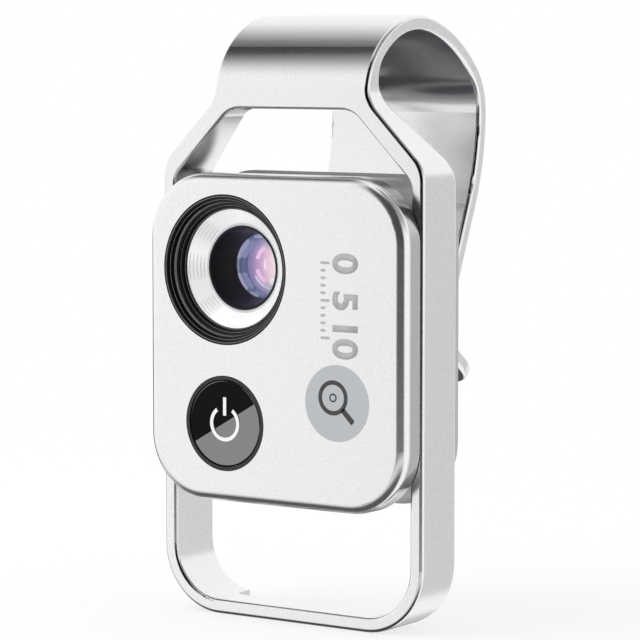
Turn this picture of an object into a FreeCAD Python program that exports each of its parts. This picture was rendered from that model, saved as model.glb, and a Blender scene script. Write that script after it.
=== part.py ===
import FreeCAD, Part
import math
import os
import Sketcher
from FreeCAD import Placement, Rotation, Vector

# Clip-on phone lens: a sliding lens module on a one-piece spring clip.
# X is to the right, Y is to the back (towards the phone), Z is up.
# The origin is on the underside of the clip's bottom bar, at its middle.

# Driving sizes in millimetres, angles in degrees
SIZES = {
    # Clip frame, seen from the front
    "frame_width": 30.0,
    "frame_depth": 5.9,
    "rail_width": 1.4,
    "foot_radius": 6.4,
    "shoulder_height": 43.75,
    "shoulder_radius": 3.2,
    "arm_reach": 6.2,
    "neck_radius": 3.0,
    "arm_width": 1.9,
    "window_rise": 5.25,
    "window_corner": 2.8,
    "elbow_radius": 2.0,
    # Clip frame, seen from the side
    "sheet": 1.45,
    "roll_rise": 6.15,
    "brow_radius": 7.1,
    "brow_turn": 44.3,
    "crest_radius": 10.0,
    "crest_turn": 60.0,
    "back_radius": 16.2,
    "back_turn": 32.5,
    "hip_radius": 6.5,
    "hip_turn": 44.1,
    "leg_radius": 25.0,
    "leg_turn": 22.1,
    "leg_straight": 11.4,
    "heel_radius": 2.0,
    "heel_turn": 76.0,
    "lip_straight": 5.5,
    "lip_corner": 2.5,
    "taper_drop": 2.15,
    "taper_radius": 4.0,
    "throat_radius": 3.0,
    "outer_round": 0.36,
    "inner_round": 0.3,
    "back_round": 0.4,
    # Notch behind the bottom bar, for the charging plug
    "notch_width": 7.2,
    "notch_depth": 2.5,
    "notch_radius": 0.9,
    "notch_flare": 1.0,
    # Soft pad at the heel
    "pad_width": 11.0,
    "pad_thickness": 0.8,
    "glue_gap": 0.03,
    # Lens module: outlines and shells
    "module_inset": 0.25,
    "module_drop": 0.87,
    "module_radius": 6.3,
    "glide_gap": 0.1,
    "shell_depth": 2.62,
    "shell_wall": 1.0,
    "shell_face": 1.0,
    "shell_round": 0.9,
    "chassis_wall": 1.2,
    "chassis_inset": 0.3,
    "spigot_gap": 0.05,
    "spigot_wall": 0.5,
    "plate_thickness": 0.8,
    "plate_chamfer": 0.25,
    # Optical axis and lens bezel
    "bezel_side": 1.93,
    "bezel_top": 1.99,
    "bezel_radius": 7.13,
    "bezel_lap": 0.32,
    "bezel_inner": 5.7,
    "bezel_share": 0.367,
    "bezel_rim": 0.3,
    "bezel_steps": 5,
    "bezel_lip": 0.25,
    "seat_gap": 0.05,
    # Reflector cone and light guide
    "reflector_rim": 0.6,
    "light_gap": 0.28,
    "cone_share": 0.262,
    "cone_lip": 0.22,
    "guide_inset": 0.3,
    "guide_sink": 0.05,
    "lamp_gap": 0.25,
    # Lens barrel and its stack
    "glass_radius": 3.5,
    "glass_gap": 0.03,
    "nose_rim": 0.55,
    "nose_wall": 0.2,
    "barrel_wall": 0.87,
    "flange_lap": 0.8,
    "flange_thickness": 0.6,
    "stop_lap": 0.4,
    "dome_inset": 0.05,
    "front_glass": 0.8,
    "front_bulge": 0.25,
    "spacer_length": 1.0,
    "rear_glass": 0.7,
    "rear_bulge": 0.2,
    "ring_length": 0.5,
    "ring_sink": 0.25,
    "gasket_gap": 0.2,
    "gasket_width": 1.2,
    "gasket_thickness": 0.6,
    "gasket_round": 0.2,
    # Push button
    "button_drop": 3.03,
    "button_margin": 3.04,
    "button_ring": 4.53,
    "ring_rim": 0.33,
    "ring_lap": 0.67,
    "ring_flange_thickness": 0.5,
    "press_gap": 0.08,
    "button_sink": 0.07,
    "button_lap": 0.48,
    "button_lip": 0.4,
    "button_skin": 0.7,
    "button_wall": 0.52,
    "button_round": 0.1,
    "stem_radius": 0.8,
    "symbol_radius": 1.55,
    "symbol_line": 0.36,
    "symbol_height": 0.06,
    "symbol_gap": 70.0,
    "bar_length": 1.75,
    "bar_rise": 0.75,
    # Circuit board and what stands on it
    "board_thickness": 0.8,
    "board_space": 2.6,
    "board_gap": 0.2,
    "led_offset": 1.2,
    "led_width": 1.1,
    "led_length": 0.8,
    "led_height": 0.55,
    "led_count": 6,
    "switch_size": 3.5,
    "switch_height": 1.1,
    "plunger_radius": 0.8,
    "plunger_rise": 0.25,
    "plunger_tail": 0.3,
    "plunger_slide": 0.05,
    "plunger_well": 0.62,
    "charger_chip": 3.0,
    "driver_chip": 2.0,
    "chip_spread": 2.5,
    "chip_rise": 4.5,
    "chip_height": 0.8,
    "passive_rise": 1.1,
    "passive_pitch": 1.8,
    "passive_width": 0.6,
    "passive_length": 1.1,
    "passive_height": 0.5,
    "passive_count": 5,
    # Battery and charging socket
    "battery_height": 18.6,
    "battery_side": 0.6,
    "battery_gap": 0.3,
    "battery_sink": 0.12,
    "battery_round": 0.5,
    "tape_thickness": 0.25,
    "socket_shift": 0.29,
    "socket_width": 7.5,
    "socket_depth": 2.5,
    "socket_length": 5.6,
    "socket_wall": 0.3,
    "socket_round": 0.7,
    "socket_gap": 0.1,
    "tongue_width": 4.8,
    "tongue_thickness": 0.6,
    "tongue_length": 3.8,
    # Bosses and screws
    "boss_edge": 1.45,
    "boss_inset": 4.2,
    "boss_radius": 1.3,
    "screw_radius": 0.6,
    "screw_head": 1.15,
    "head_depth": 0.45,
    "head_sink": 0.05,
    "rear_screw_length": 1.5,
    "board_screw_length": 1.9,
    "board_head_depth": 0.5,
}


class Size:
    """A length or angle with the sheet expression that keeps it up to date."""

    def __init__(self, value, text):
        self.value = value
        self.text = text

    def __add__(self, other):
        other = as_size(other)
        return Size(self.value + other.value, f"({self.text} + {other.text})")

    def __sub__(self, other):
        other = as_size(other)
        return Size(self.value - other.value, f"({self.text} - {other.text})")

    def __mul__(self, other):
        other = as_size(other)
        return Size(self.value * other.value, f"({self.text} * {other.text})")

    def __truediv__(self, other):
        other = as_size(other)
        return Size(self.value / other.value, f"({self.text} / {other.text})")

    def __neg__(self):
        return Size(-self.value, f"(0 - {self.text})")


def as_size(thing):
    """A plain number is a size too, with no cell of its own."""
    if isinstance(thing, Size):
        return thing
    return Size(float(thing), repr(float(thing)))


class Sheet:
    """Reads a driving size by its alias, as sizes.frame_width."""

    def __getattr__(self, name):
        return Size(SIZES[name], f"Sizes.{name}")


def write_sheet(document):
    """Put every driving size in a cell with an alias."""
    cells = document.addObject("Spreadsheet::Sheet", "Sizes")
    for row, (name, value) in enumerate(SIZES.items(), start=1):
        cells.set(f"A{row}", name)
        cells.set(f"B{row}", str(value))
        cells.setAlias(f"B{row}", name)
    document.recompute()


doc = FreeCAD.newDocument("clip_on_lens")
write_sheet(doc)
sizes = Sheet()
parts = []


class Drawing:
    """A sketch on one of a body's own planes, with its sizes tied to the sheet."""

    def __init__(self, body, role, lift=0):
        self.sketch = body.newObject("Sketcher::SketchObject", f"{body.Name}_sketch")
        planes = [plane for plane in body.Origin.OriginFeatures if plane.Role == role]
        self.sketch.AttachmentSupport = [(planes[0], "")]
        self.sketch.MapMode = "FlatFace"
        lift = as_size(lift)
        self.sketch.AttachmentOffset = Placement(Vector(0, 0, lift.value), Rotation())
        self.sketch.setExpression("AttachmentOffset.Base.z", lift.text)

    def rule(self, kind, *where):
        """Add a constraint that has no size."""
        self.sketch.addConstraint(Sketcher.Constraint(kind, *where))

    def tie(self, kind, *where, size):
        """Add a constraint whose size follows the sheet."""
        degrees = kind == "Angle"
        value = math.radians(size.value) if degrees else size.value
        number = self.sketch.addConstraint(Sketcher.Constraint(kind, *where, value))
        text = f"{size.text} * 1 deg" if degrees else size.text
        self.sketch.setExpression(f"Constraints[{number}]", text)

    def pin(self, geometry, point, across, up):
        """Hold a point of some geometry at a place given from the origin."""
        if across.value:
            self.tie("DistanceX", -1, 1, geometry, point, size=across)
        else:
            self.rule("PointOnObject", geometry, point, -2)
        if up.value:
            self.tie("DistanceY", -1, 1, geometry, point, size=up)
        else:
            self.rule("PointOnObject", geometry, point, -1)

    def read(self, kind, name, geometry, value):
        """A reference dimension to a centre, which other sketches can follow."""
        rule = Sketcher.Constraint(kind, -1, 1, geometry, 3, value)
        number = self.sketch.addConstraint(rule)
        self.sketch.setDriving(number, False)
        self.sketch.renameConstraint(number, name)
        return Size(value, f"{self.sketch.Name}.Constraints.{name}")

    def line(self, start, end):
        return self.sketch.addGeometry(Part.LineSegment(start, end))

    def arc(self, centre, radius, start, end):
        """An arc between two points, drawn counter-clockwise."""
        circle = Part.Circle(centre, Vector(0, 0, 1), radius)
        first = math.atan2(start.y - centre.y, start.x - centre.x)
        last = math.atan2(end.y - centre.y, end.x - centre.x)
        if last < first:
            last += 2 * math.pi
        return self.sketch.addGeometry(Part.ArcOfCircle(circle, first, last))

    def circle(self, across, up, radius):
        across, up, radius = as_size(across), as_size(up), as_size(radius)
        centre = Vector(across.value, up.value, 0)
        made = self.sketch.addGeometry(Part.Circle(centre, Vector(0, 0, 1), radius.value))
        self.pin(made, 3, across, up)
        self.tie("Radius", made, size=radius)

    def polygon(self, corners):
        """A closed outline through corners of (across, up) or (across, up, radius)."""
        corners = [tuple(as_size(item) for item in corner) for corner in corners]
        count = len(corners)
        points = [Vector(corner[0].value, corner[1].value, 0) for corner in corners]
        arrive, leave, centres = [], [], []
        for i, corner in enumerate(corners):
            back = (points[i - 1] - points[i]).normalize()
            ahead = (points[(i + 1) % count] - points[i]).normalize()
            half = back.getAngle(ahead) / 2
            radius = corner[2].value if len(corner) > 2 else 0.0
            reach = radius / math.tan(half)
            arrive.append(points[i] + back * reach)
            leave.append(points[i] + ahead * reach)
            middle = (back + ahead).normalize()
            centres.append(points[i] + middle * (radius / math.sin(half)))
        lines = [self.line(leave[i], arrive[(i + 1) % count]) for i in range(count)]
        for i, corner in enumerate(corners):
            before, after = lines[i - 1], lines[i]
            if len(corner) < 3:
                self.rule("Coincident", before, 2, after, 1)
                self.pin(after, 1, corner[0], corner[1])
                continue
            turn = (points[i] - points[i - 1]).cross(points[(i + 1) % count] - points[i]).z
            ends = (arrive[i], leave[i]) if turn > 0 else (leave[i], arrive[i])
            bend = self.arc(centres[i], corner[2].value, *ends)
            first, last = (1, 2) if turn > 0 else (2, 1)
            self.rule("Tangent", before, 2, bend, first)
            self.rule("Tangent", bend, last, after, 1)
            self.tie("Radius", bend, size=corner[2])
            vertex = self.sketch.addGeometry(Part.Point(points[i]), True)
            self.rule("PointOnObject", vertex, 1, before)
            self.rule("PointOnObject", vertex, 1, after)
            self.pin(vertex, 1, corner[0], corner[1])

    def band(self, across, up, inner, thickness, start, sweep):
        """Part of a ring about a centre: two arcs joined by spokes, angles in degrees."""
        centre = Vector(across.value, up.value, 0)
        spokes = []
        for angle in (start.value, start.value + sweep.value):
            turn = math.radians(angle)
            spokes.append(Vector(math.cos(turn), math.sin(turn), 0))
        outer = inner + thickness
        near = [centre + spoke * inner.value for spoke in spokes]
        wide = [centre + spoke * outer.value for spoke in spokes]
        inner_arc = self.arc(centre, inner.value, *near)
        outer_arc = self.arc(centre, outer.value, *wide)
        first = self.line(near[0], wide[0])
        last = self.line(near[1], wide[1])
        self.rule("Coincident", inner_arc, 3, outer_arc, 3)
        for spoke, end in ((first, 1), (last, 2)):
            self.rule("Coincident", spoke, 1, inner_arc, end)
            self.rule("Coincident", spoke, 2, outer_arc, end)
            self.rule("PointOnObject", inner_arc, 3, spoke)
        self.pin(inner_arc, 3, across, up)
        self.tie("Radius", inner_arc, size=inner)
        self.tie("Radius", outer_arc, size=outer)
        self.tie("Angle", inner_arc, size=sweep)
        self.tie("Angle", first, size=start)

    def box(self, left, right, bottom, top, radius=None):
        """A rectangle, with rounded corners where a radius is given."""
        extra = () if radius is None else (radius,)
        corners = [(left, bottom), (right, bottom), (right, top), (left, top)]
        self.polygon([corner + extra for corner in corners])


def new_body(label, across=None, up=None):
    """A named body, moved sideways and up where it is turned about an axis of its own."""
    body = doc.addObject("PartDesign::Body", label)
    body.Label = label
    if across is not None:
        body.Placement = Placement(Vector(across.value, 0, up.value), Rotation())
        body.setExpression("Placement.Base.x", across.text)
        body.setExpression("Placement.Base.z", up.text)
    parts.append(body)
    return body


def front_sketch(body, depth):
    """A sketch seen from the front, standing at a place along Y."""
    return Drawing(body, "XZ_Plane", -as_size(depth))


def pad(body, drawing, length, both_ways=False, forwards=False):
    """Pad a sketch towards the back, the front, or evenly both ways."""
    length = as_size(length)
    made = body.newObject("PartDesign::Pad", f"{body.Name}_pad")
    made.Profile = drawing.sketch
    made.Length = length.value
    made.setExpression("Length", length.text)
    if both_ways:
        made.SideType = "Symmetric"
    made.Reversed = not (both_ways or forwards)
    doc.recompute()
    return made


def pocket(body, drawing, length, both_ways=False, forwards=False):
    """Cut a sketch towards the back, and make sure that it took material away."""
    length = as_size(length)
    before = body.Shape.Volume
    made = body.newObject("PartDesign::Pocket", f"{body.Name}_pocket")
    made.Profile = drawing.sketch
    made.Length = length.value
    made.setExpression("Length", length.text)
    if both_ways:
        made.SideType = "Symmetric"
    made.Reversed = forwards
    doc.recompute()
    if not body.Shape.Volume < before - 1e-6:
        raise RuntimeError(f"{made.Name} cuts nothing from {body.Label}")
    return made


def soften(body, kind, radius, chosen):
    """Fillet or chamfer the edges of the body's tip that a test chooses."""
    base = body.Tip
    names = [f"Edge{i}" for i, edge in enumerate(base.Shape.Edges, start=1) if chosen(edge)]
    if not names:
        raise RuntimeError(f"no edge to soften on {body.Label}")
    made = body.newObject(f"PartDesign::{kind}", f"{body.Name}_{kind.lower()}")
    made.Base = (base, names)
    radius = as_size(radius)
    name = "Radius" if kind == "Fillet" else "Size"
    setattr(made, name, radius.value)
    made.setExpression(name, radius.text)
    doc.recompute()
    return made


def flat_at(edge, depth):
    """Whether an edge lies in the plane at this place along Y."""
    box = edge.BoundBox
    return abs(box.YMin - depth.value) < 1e-4 and abs(box.YMax - depth.value) < 1e-4


def turn(body, drawing):
    """Turn a sketch a full circle about its upright axis."""
    made = body.newObject("PartDesign::Revolution", f"{body.Name}_turn")
    made.Profile = drawing.sketch
    made.ReferenceAxis = (drawing.sketch, ["V_Axis"])
    made.Angle = 360
    doc.recompute()


def turned(label, profile, across, up):
    """A piece turned about a line along Y, from corners of (radius, depth)."""
    body = new_body(label, across, up)
    drawing = Drawing(body, "XY_Plane")
    drawing.polygon(profile)
    turn(body, drawing)
    return body


def slab(label, front, thickness, draw):
    """A flat piece: an outline at a place along Y, padded to the back."""
    body = new_body(label)
    drawing = front_sketch(body, front)
    draw(drawing)
    pad(body, drawing, thickness)
    return body


# Places across and up that several pieces share
half_frame = sizes.frame_width / 2
half_neck = half_frame - sizes.arm_reach
rail_inside = half_frame - sizes.rail_width
roll_start = sizes.shoulder_height + sizes.roll_rise
window_top = sizes.shoulder_height + sizes.window_rise
taper_start = sizes.shoulder_height - sizes.taper_drop
half_module = half_frame - sizes.module_inset
module_top = sizes.shoulder_height - sizes.module_drop
lens_x = -half_module + sizes.bezel_side + sizes.bezel_radius
lens_z = module_top - sizes.bezel_top - sizes.bezel_radius
button_z = lens_z - sizes.bezel_radius - sizes.button_drop - sizes.button_ring
module_bottom = button_z - sizes.button_ring - sizes.button_margin
half_chassis = rail_inside - sizes.glide_gap
chassis_bottom = module_bottom + sizes.chassis_inset
chassis_top = module_top - sizes.chassis_inset
chassis_radius = sizes.module_radius - half_module + half_chassis
inside_half = half_chassis - sizes.chassis_wall
inside_bottom = chassis_bottom + sizes.chassis_wall
inside_top = chassis_top - sizes.chassis_wall
socket_x = lens_x + sizes.socket_shift
boss_x = inside_half - sizes.boss_edge
boss_low = chassis_bottom + sizes.boss_inset
boss_high = chassis_top - sizes.boss_inset
boss_places = [(side, height) for side in (-boss_x, boss_x) for height in (boss_low, boss_high)]

# Radii of the pieces round the lens and the button, from the inside out
bore = sizes.glass_radius + sizes.glass_gap
stop_radius = sizes.glass_radius - sizes.stop_lap
nose_radius = sizes.glass_radius + sizes.nose_rim
barrel_radius = bore + sizes.barrel_wall
cone_inner = nose_radius + sizes.light_gap
led_circle = nose_radius + sizes.led_offset
reflector_radius = sizes.bezel_inner + sizes.reflector_rim
guide_radius = reflector_radius - sizes.guide_inset
bezel_flange = sizes.bezel_radius + sizes.bezel_lap
gasket_inner = barrel_radius + sizes.gasket_gap
gasket_outer = gasket_inner + sizes.gasket_width
button_bore = sizes.button_ring - sizes.ring_rim
button_radius = button_bore - sizes.press_gap

# Places along Y that several pieces share
frame_front = -sizes.frame_depth / 2
frame_back = sizes.frame_depth / 2
shell_back = frame_front - sizes.glide_gap
shell_front = shell_back - sizes.shell_depth
face_back = shell_front + sizes.shell_face
plate_front = frame_back + sizes.glide_gap
plate_back = plate_front + sizes.plate_thickness
head_front = plate_back - sizes.head_depth - sizes.head_sink
board_back = plate_front - sizes.board_space
board_front = board_back - sizes.board_thickness
led_front = board_front - sizes.led_height
light_depth = led_front - shell_front
bezel_drop = light_depth * sizes.bezel_share
bezel_back = shell_front + bezel_drop
cone_back = bezel_back + light_depth * sizes.cone_share
guide_front = cone_back + sizes.cone_lip
guide_back = led_front - sizes.lamp_gap
ring_front = plate_back - sizes.ring_sink - sizes.ring_length
rear_lens_front = ring_front - sizes.rear_glass
spacer_front = rear_lens_front - sizes.spacer_length
seat = spacer_front - sizes.front_glass
glass_front = seat - sizes.front_bulge
button_front = shell_front + sizes.button_sink
ring_flange_back = face_back + sizes.ring_flange_thickness
switch_front = board_front - sizes.switch_height
plunger_front = switch_front - sizes.plunger_rise
battery_back = board_front - sizes.tape_thickness
battery_front = bezel_back + sizes.battery_sink


class Walk:
    """Draws tangent lines and arcs one after another, each tied to the sheet."""

    def __init__(self, drawing, last, point, place, heading):
        self.drawing = drawing
        self.last = last
        self.point = point
        self.place = place
        self.heading = heading
        self.centre = None
        self.square_to_web = None
        self.made = []

    def follow(self, geometry, start_point, end_point, place, turn=0.0):
        if self.square_to_web is None:
            self.drawing.rule("Tangent", self.last, self.point, geometry, start_point)
        else:
            self.drawing.rule("Coincident", self.last, self.point, geometry, start_point)
            self.drawing.rule("PointOnObject", geometry, 3, self.square_to_web)
            self.square_to_web = None
        self.last = geometry
        self.point = end_point
        self.place = place
        self.heading += turn
        self.made.append(geometry)

    def straight(self, length):
        angle = math.radians(self.heading)
        end = self.place + Vector(math.cos(angle), math.sin(angle), 0) * length.value
        made = self.drawing.line(self.place, end)
        self.follow(made, 1, 2, end)
        self.drawing.tie("Distance", made, size=length)

    def bend(self, radius, turn, left=False):
        """An arc to the right, or to the left where asked."""
        side = 1 if left else -1
        angle = math.radians(self.heading)
        towards = Vector(-math.sin(angle), math.cos(angle), 0) * side
        centre = self.place + towards * radius.value
        self.centre = centre
        spoke = Rotation(Vector(0, 0, 1), side * turn.value).multVec(self.place - centre)
        end = centre + spoke
        if left:
            made = self.drawing.arc(centre, radius.value, self.place, end)
            self.follow(made, 1, 2, end, turn.value)
        else:
            made = self.drawing.arc(centre, radius.value, end, self.place)
            self.follow(made, 2, 1, end, -turn.value)
        self.drawing.tie("Radius", made, size=radius)
        self.drawing.tie("Angle", made, size=turn)


def clip_profile(drawing):
    """The clip from the side: a rail with a roll, a sprung leg and a flared lip.

    The outer line is a chain of tangent arcs. The inner line keeps the sheet's
    thickness from the brow on, and meets the rail's back along a tapering arm.
    """
    outer = [
        (sizes.brow_radius, sizes.brow_turn),
        (sizes.crest_radius, sizes.crest_turn),
        (sizes.back_radius, sizes.back_turn),
        (sizes.hip_radius, sizes.hip_turn),
        (sizes.leg_radius, sizes.leg_turn),
    ]
    start = Vector(frame_front.value, 0, 0)
    brow = Vector(frame_front.value, roll_start.value, 0)
    front = drawing.line(start, brow)
    drawing.pin(front, 1, frame_front, as_size(0))
    drawing.rule("Vertical", front)
    drawing.tie("DistanceY", front, 1, front, 2, size=roll_start)

    outer_walk = Walk(drawing, front, 2, brow, 90.0)
    outer_walk.bend(*outer[0])
    joint = outer_walk.place
    brow_arc = outer_walk.last
    heading = outer_walk.heading
    for radius, turn in outer[1:]:
        outer_walk.bend(radius, turn)
    outer_walk.straight(sizes.leg_straight)
    outer_walk.bend(sizes.heel_radius, sizes.heel_turn, left=True)
    heel_arc = outer_walk.last
    heel_centre = outer_walk.centre
    outer_walk.straight(sizes.lip_straight)

    inward = Vector(math.sin(math.radians(heading)), -math.cos(math.radians(heading)), 0)
    inner_start = joint + inward * sizes.sheet.value
    web = drawing.line(joint, inner_start)
    drawing.sketch.setConstruction(web, True)
    drawing.rule("Coincident", web, 1, brow_arc, 1)
    drawing.rule("PointOnObject", brow_arc, 3, web)
    drawing.tie("Distance", web, size=sizes.sheet)

    inner_walk = Walk(drawing, web, 2, inner_start, heading)
    inner_walk.square_to_web = web
    for radius, turn in outer[1:]:
        inner_walk.bend(radius - sizes.sheet, turn)
        if len(inner_walk.made) == 1:
            first_inner = inner_walk.last
    inner_walk.straight(sizes.leg_straight)
    inner_walk.bend(sizes.heel_radius + sizes.sheet, sizes.heel_turn, left=True)
    inner_walk.straight(sizes.lip_straight)

    tip = drawing.line(outer_walk.place, inner_walk.place)
    drawing.rule("Coincident", tip, 1, outer_walk.last, 2)
    drawing.rule("Coincident", tip, 2, inner_walk.last, 2)

    taper_centre = Vector(frame_back.value - sizes.taper_radius.value, taper_start.value, 0)
    throat_centre = inner_start + inward * sizes.throat_radius.value
    between = throat_centre - taper_centre
    reach = sizes.throat_radius.value + sizes.taper_radius.value
    lean = math.atan2(between.y, between.x) + math.asin(reach / between.Length)
    aside = Vector(math.sin(lean), -math.cos(lean), 0)
    taper_end = taper_centre + aside * sizes.taper_radius.value
    throat_start = throat_centre - aside * sizes.throat_radius.value
    rail_low = Vector(frame_back.value, 0, 0)
    rail_high = Vector(frame_back.value, taper_start.value, 0)
    rail = drawing.line(rail_low, rail_high)
    taper = drawing.arc(taper_centre, sizes.taper_radius.value, rail_high, taper_end)
    arm = drawing.line(taper_end, throat_start)
    throat = drawing.arc(throat_centre, sizes.throat_radius.value, inner_start, throat_start)
    drawing.pin(rail, 1, frame_back, as_size(0))
    drawing.rule("Vertical", rail)
    drawing.tie("DistanceY", rail, 1, rail, 2, size=taper_start)
    drawing.rule("Tangent", rail, 2, taper, 1)
    drawing.tie("Radius", taper, size=sizes.taper_radius)
    drawing.rule("Tangent", taper, 2, arm, 1)
    drawing.rule("Tangent", arm, 2, throat, 2)
    drawing.tie("Radius", throat, size=sizes.throat_radius)
    drawing.rule("Tangent", throat, 1, first_inner, 2)

    foot = drawing.line(start, rail_low)
    drawing.rule("Coincident", foot, 1, front, 1)
    drawing.rule("Coincident", foot, 2, rail, 1)
    across = drawing.read("DistanceX", "heel_across", heel_arc, heel_centre.x)
    up = drawing.read("DistanceY", "heel_up", heel_arc, heel_centre.y)
    return across, up


def make_clip_frame():
    """One piece: the side profile as wide as the frame, cut to its front outline."""
    body = new_body("clip_frame")
    side = Drawing(body, "YZ_Plane")
    heel = clip_profile(side)
    pad(body, side, sizes.frame_width, both_ways=True)

    far = (sizes.frame_width + sizes.shoulder_height) * 2
    arm_foot = sizes.shoulder_height + half_frame - half_neck
    outline = front_sketch(body, -far / 2)
    outline.box(-far, far, -far, far)
    outline.polygon([
        (-half_frame, 0, sizes.foot_radius),
        (half_frame, 0, sizes.foot_radius),
        (half_frame, sizes.shoulder_height, sizes.shoulder_radius),
        (half_neck, arm_foot, sizes.neck_radius),
        (half_neck, far - sizes.frame_width),
        (-half_neck, far - sizes.frame_width),
        (-half_neck, arm_foot, sizes.neck_radius),
        (-half_frame, sizes.shoulder_height, sizes.shoulder_radius),
    ])
    pocket(body, outline, far)

    beside = front_sketch(body, frame_back + sizes.glide_gap)
    beside.box(half_neck, far, -far, far)
    beside.box(-far, -half_neck, -far, far)
    pocket(body, beside, far)

    slant = sizes.arm_width * math.sqrt(2)
    elbow = sizes.shoulder_height + sizes.rail_width - slant
    top_half = elbow + rail_inside - window_top
    window = front_sketch(body, frame_front - sizes.glide_gap)
    inner_foot = sizes.foot_radius - sizes.rail_width
    window.polygon([
        (-rail_inside, sizes.rail_width, inner_foot),
        (rail_inside, sizes.rail_width, inner_foot),
        (rail_inside, elbow, sizes.elbow_radius),
        (top_half, window_top, sizes.window_corner),
        (-top_half, window_top, sizes.window_corner),
        (-rail_inside, elbow, sizes.elbow_radius),
    ])
    pocket(body, window, sizes.frame_depth + sizes.glide_gap * 2)
    return body, heel


def round_clip_edges(body):
    """Soften the frame's front and back outlines and the window's front edge."""
    def outer_front(edge):
        middle = edge.BoundBox.Center
        return flat_at(edge, frame_front) and abs(abs(middle.x) - half_frame.value) < 1e-3

    def window_front(edge):
        middle = edge.BoundBox.Center
        return flat_at(edge, frame_front) and abs(abs(middle.x) - rail_inside.value) < 1e-3

    def outer_back(edge):
        middle = edge.BoundBox.Center
        return flat_at(edge, frame_back) and abs(abs(middle.x) - half_frame.value) < 1e-3

    def lip_corner(edge):
        box = edge.BoundBox
        beside = box.XLength < 1e-6 and abs(abs(box.XMin) - half_neck.value) < 1e-3
        return beside and abs(edge.Length - sizes.sheet.value) < 1e-3

    soften(body, "Fillet", sizes.lip_corner, lip_corner)
    soften(body, "Fillet", sizes.outer_round, outer_front)
    soften(body, "Fillet", sizes.inner_round, window_front)
    soften(body, "Fillet", sizes.back_round, outer_back)


def cut_notch(body):
    """A notch in the bottom bar's back, where the charging plug comes past."""
    drawing = Drawing(body, "XY_Plane", -sizes.rail_width)
    left = socket_x - sizes.notch_width / 2
    right = left + sizes.notch_width
    inside = frame_back - sizes.notch_depth
    clear = frame_back + sizes.notch_depth
    drawing.polygon([
        (left, clear),
        (left, inside, sizes.notch_radius),
        (right, inside, sizes.notch_radius),
        (right, frame_back, sizes.notch_flare),
        (right + sizes.notch_depth, frame_back),
        (right + sizes.notch_depth, clear),
    ])
    pocket(body, drawing, sizes.rail_width * 3, forwards=True)


def make_clip_pad():
    """A soft pad that wraps the heel of the leg, where the phone is gripped."""
    body = new_body("clip_pad")
    drawing = Drawing(body, "YZ_Plane")
    inner = sizes.heel_radius + sizes.sheet + sizes.glue_gap
    start = as_size(360) - sizes.brow_turn - sizes.crest_turn - sizes.back_turn
    start = start - sizes.hip_turn - sizes.leg_turn
    drawing.band(heel_across, heel_up, inner, sizes.pad_thickness, start, sizes.heel_turn)
    pad(body, drawing, sizes.pad_width, both_ways=True)
    return body


def make_shell():
    """The pressed front cover, open at the back, with holes for lens and button."""
    body = slab("front_shell", shell_front, sizes.shell_depth, lambda drawing: drawing.box(
        -half_module, half_module, module_bottom, module_top, sizes.module_radius))
    soften(body, "Fillet", sizes.shell_round, lambda edge: flat_at(edge, shell_front))
    inside = front_sketch(body, face_back)
    wall = sizes.shell_wall
    inside.box(-half_module + wall, half_module - wall, module_bottom + wall,
               module_top - wall, sizes.module_radius - wall)
    pocket(body, inside, sizes.shell_depth)
    holes = front_sketch(body, shell_front)
    holes.circle(lens_x, lens_z, sizes.bezel_radius + sizes.seat_gap)
    holes.circle(lens_x, button_z, sizes.button_ring + sizes.seat_gap)
    pocket(body, holes, sizes.shell_depth)
    return body


def make_chassis():
    """The moulded middle: a spigot in the shell, walls between the rails, four bosses."""
    spigot = sizes.shell_wall + sizes.spigot_gap
    body = slab("chassis", face_back, sizes.shell_depth - sizes.shell_face,
                lambda drawing: drawing.box(
                    -half_module + spigot, half_module - spigot, module_bottom + spigot,
                    module_top - spigot, sizes.module_radius - spigot))
    middle = front_sketch(body, shell_back)
    middle.box(-half_chassis, half_chassis, chassis_bottom, chassis_top, chassis_radius)
    pad(body, middle, plate_front - shell_back)
    hollow = front_sketch(body, face_back)
    hollow.box(-inside_half, inside_half, inside_bottom, inside_top,
               chassis_radius - sizes.chassis_wall)
    pocket(body, hollow, plate_front - face_back)
    rim = front_sketch(body, face_back)
    inset = spigot + sizes.spigot_wall
    rim.box(-half_module + inset, half_module - inset, module_bottom + inset,
            module_top - inset, sizes.module_radius - inset)
    pocket(body, rim, shell_back - face_back)
    bosses = front_sketch(body, board_back)
    for side, height in boss_places:
        bosses.circle(side, height, sizes.boss_radius)
    pad(body, bosses, sizes.board_space)
    ribs = front_sketch(body, board_back)
    for side, height in boss_places:
        outward = sizes.boss_radius / 2
        edge = half_chassis - sizes.chassis_wall / 2
        if side.value > 0:
            ribs.box(side, edge, height - outward, height + outward)
        else:
            ribs.box(-edge, side, height - outward, height + outward)
    pad(body, ribs, sizes.board_space)
    bores = front_sketch(body, board_back)
    for side, height in boss_places:
        bores.circle(side, height, sizes.screw_radius + sizes.seat_gap)
    pocket(body, bores, sizes.board_space)
    mouth = front_sketch(body, board_back - sizes.socket_gap)
    half_mouth = sizes.socket_width / 2 + sizes.socket_gap
    mouth.box(socket_x - half_mouth, socket_x + half_mouth,
              module_bottom, inside_bottom + sizes.chassis_wall)
    pocket(body, mouth, sizes.board_space + sizes.socket_gap)
    return body


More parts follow.
